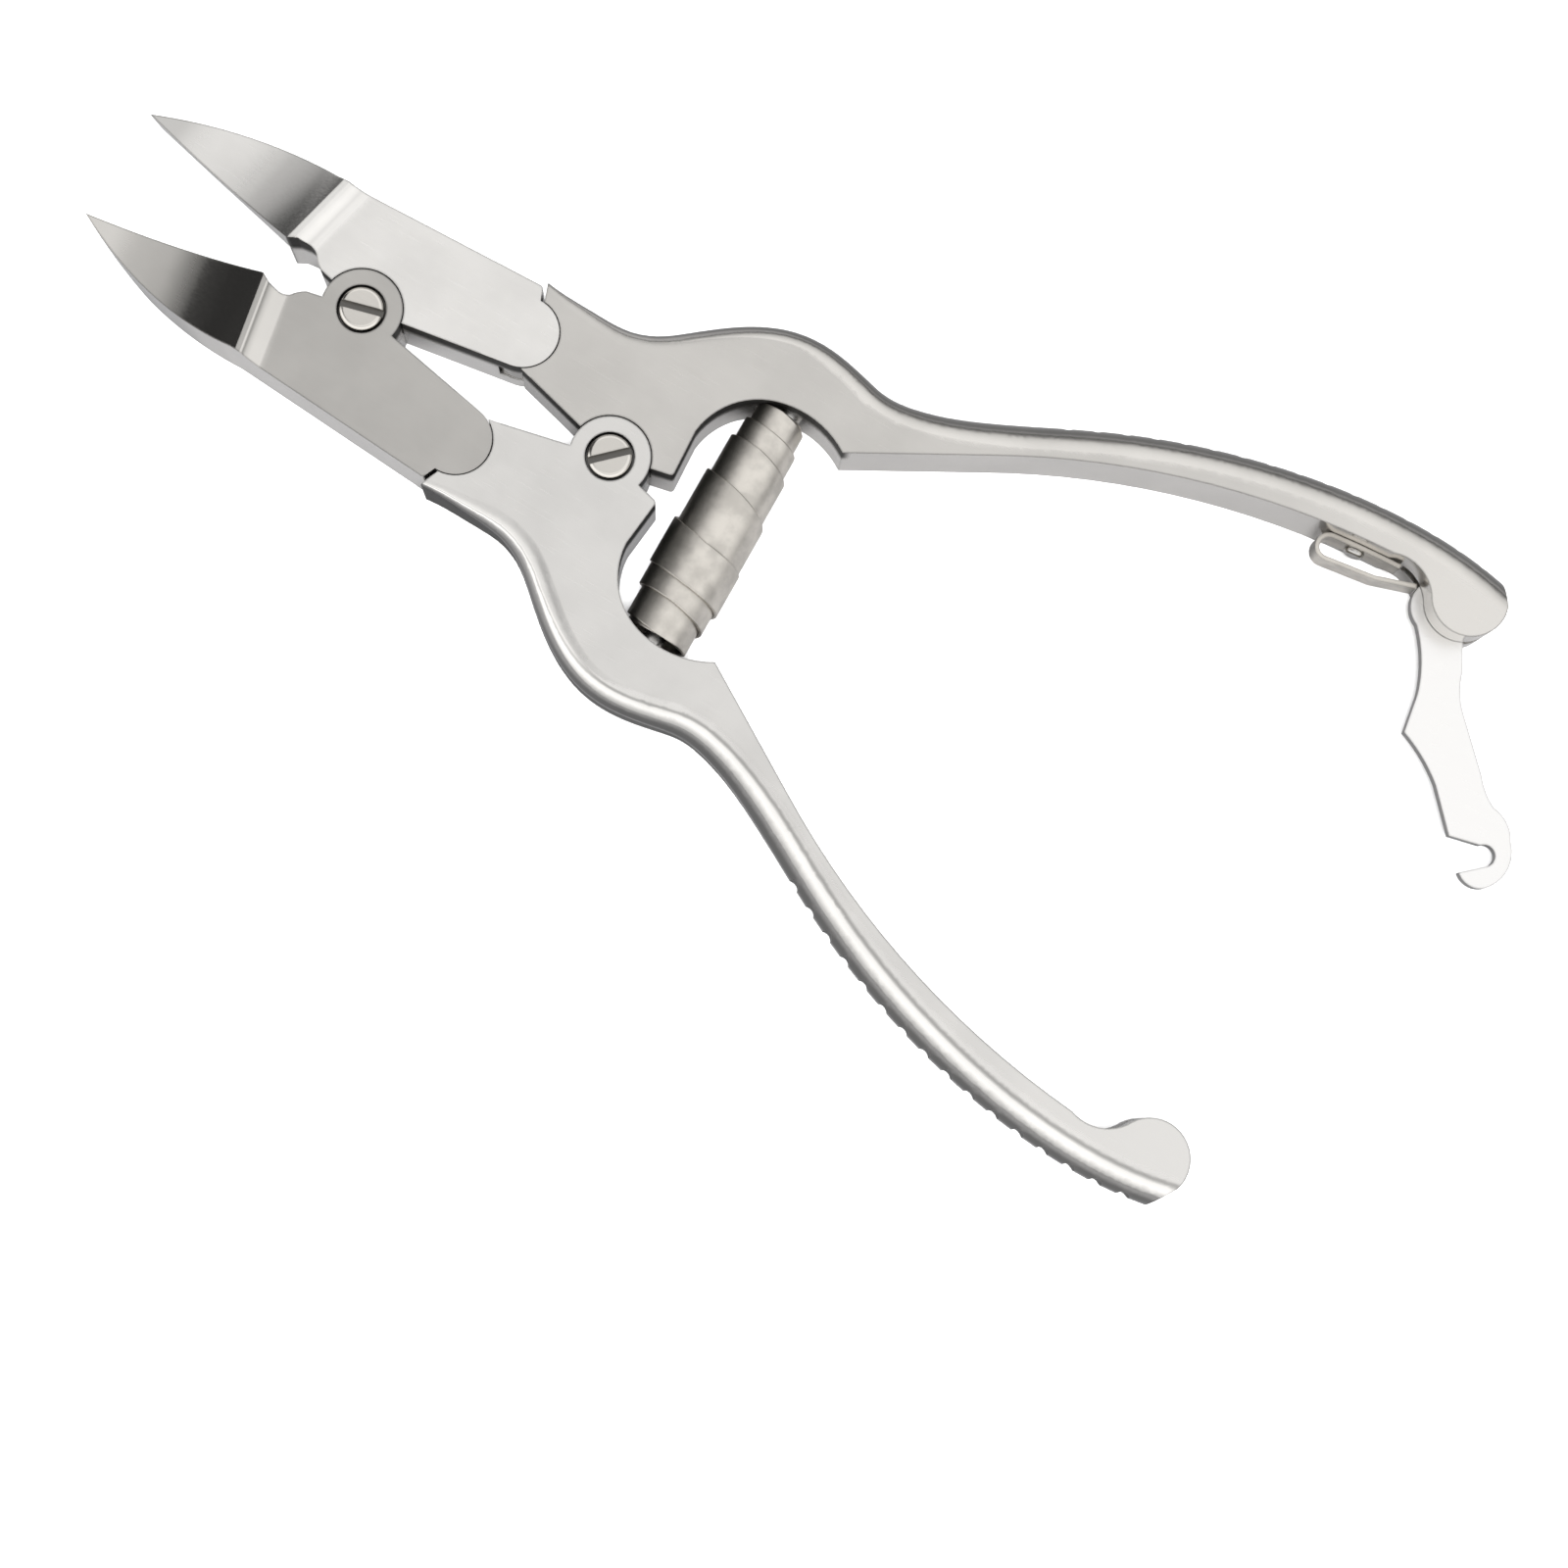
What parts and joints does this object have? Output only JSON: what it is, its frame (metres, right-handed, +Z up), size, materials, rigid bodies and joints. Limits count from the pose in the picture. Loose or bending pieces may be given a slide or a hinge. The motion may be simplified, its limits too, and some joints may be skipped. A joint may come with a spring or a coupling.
{
  "type": "nail nipper",
  "caption": "Double-action nail nipper: short sharp jaws, two long arched handles held open by a barrel spring, and a hooked lever that locks them shut.",
  "frame": {"origin": "centre of the handle pivot at the flat underside that the tool lies on", "axes": "+X along the centre line from the jaws to the handle ends, +Y towards the upper handle, +Z up through the screw heads"},
  "size_m": [0.1685, 0.0804, 0.0096],
  "materials": {
    "upper_jaw_steel": "satin forged stainless steel, polished blade",
    "lower_jaw_steel": "satin forged stainless steel, polished blade",
    "upper_handle_steel": "satin flats, polished round grip",
    "lower_handle_steel": "satin flats, polished round grip",
    "screw_steel": "turned and polished",
    "pin_steel": "ground",
    "spring_steel": "rolled spring strip",
    "lever_steel": "pressed sheet, satin"
  },
  "bodies": {
    "lower_handle": {"lower_handle": "lower_handle_steel", "handle_pivot_screw": "screw_steel", "lower_spring_pin": "pin_steel", "catch_pin": "pin_steel", "barrel_spring": "spring_steel"},
    "upper_handle": {"upper_handle": "upper_handle_steel", "upper_spring_pin": "pin_steel", "lock_pivot_pin": "pin_steel", "lock_leaf_spring": "spring_steel", "leaf_spring_rivet": "pin_steel"},
    "lower_jaw": {"lower_jaw": "lower_jaw_steel", "jaw_pivot_screw": "screw_steel", "lower_link_pin": "pin_steel"},
    "upper_jaw": {"upper_jaw": "upper_jaw_steel", "upper_link_pin": "pin_steel"},
    "lock_lever": {"lock_lever": "lever_steel"}
  },
  "joints": [
    {"name": "handle_pivot", "type": "hinge", "parent": "lower_handle", "child": "upper_handle", "pos_m": [0, 0, 0.004], "axis": [0, 0, -1], "range_deg": [0, 25.4], "stiffness_Nm_per_rad": 0.6, "springref_deg": -6.88, "deforming": ["barrel_spring"]},
    {"name": "lower_link", "type": "hinge", "parent": "lower_handle", "child": "lower_jaw", "pos_m": [-0.01519, -0.00693, 0.004], "axis": [0, 0, -1], "range_deg": [0, 24.57]},
    {"name": "upper_link", "type": "hinge", "parent": "upper_handle", "child": "upper_jaw", "pos_m": [-0.01519, 0.00693, 0.004], "axis": [0, 0, 1], "range_deg": [0, 24.57]},
    {"name": "lock_pivot", "type": "hinge", "parent": "upper_handle", "child": "lock_lever", "pos_m": [0.08585, 0.03342, 0.004], "axis": [0, 0, 1], "range_deg": [-26.6, 35]}
  ],
  "couplings": [
    {"joint": "lower_link", "follows": "handle_pivot", "ratio": 0.966},
    {"joint": "upper_link", "follows": "handle_pivot", "ratio": 0.966}
  ]
}
